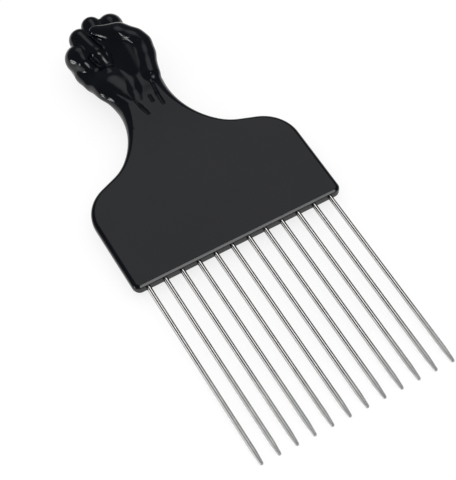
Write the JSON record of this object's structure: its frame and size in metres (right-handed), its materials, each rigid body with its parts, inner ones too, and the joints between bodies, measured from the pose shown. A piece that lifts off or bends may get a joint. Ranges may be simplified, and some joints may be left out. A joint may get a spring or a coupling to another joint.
{
  "type": "afro pick",
  "caption": "Hair pick with a flat black plate, straight polished steel pins and a grip shaped as a raised, closed right hand.",
  "frame": {"origin": "middle of the plate's straight-sided part, on its flat back", "axes": "+X across the plate, to the viewer's right seen from the front; +Y from the pins to the hand; +Z out of the plate's front, the palm side"},
  "size_m": [0.0902, 0.212, 0.0219],
  "materials": {
    "black_plastic": "smooth glossy moulding",
    "steel": "polished drawn wire"
  },
  "bodies": {
    "root": {"handle": "black_plastic", "tooth_01": "steel", "tooth_02": "steel", "tooth_03": "steel", "tooth_04": "steel", "tooth_05": "steel", "tooth_06": "steel", "tooth_07": "steel", "tooth_08": "steel", "tooth_09": "steel", "tooth_10": "steel", "tooth_11": "steel", "tooth_12": "steel"}
  },
  "joints": []
}
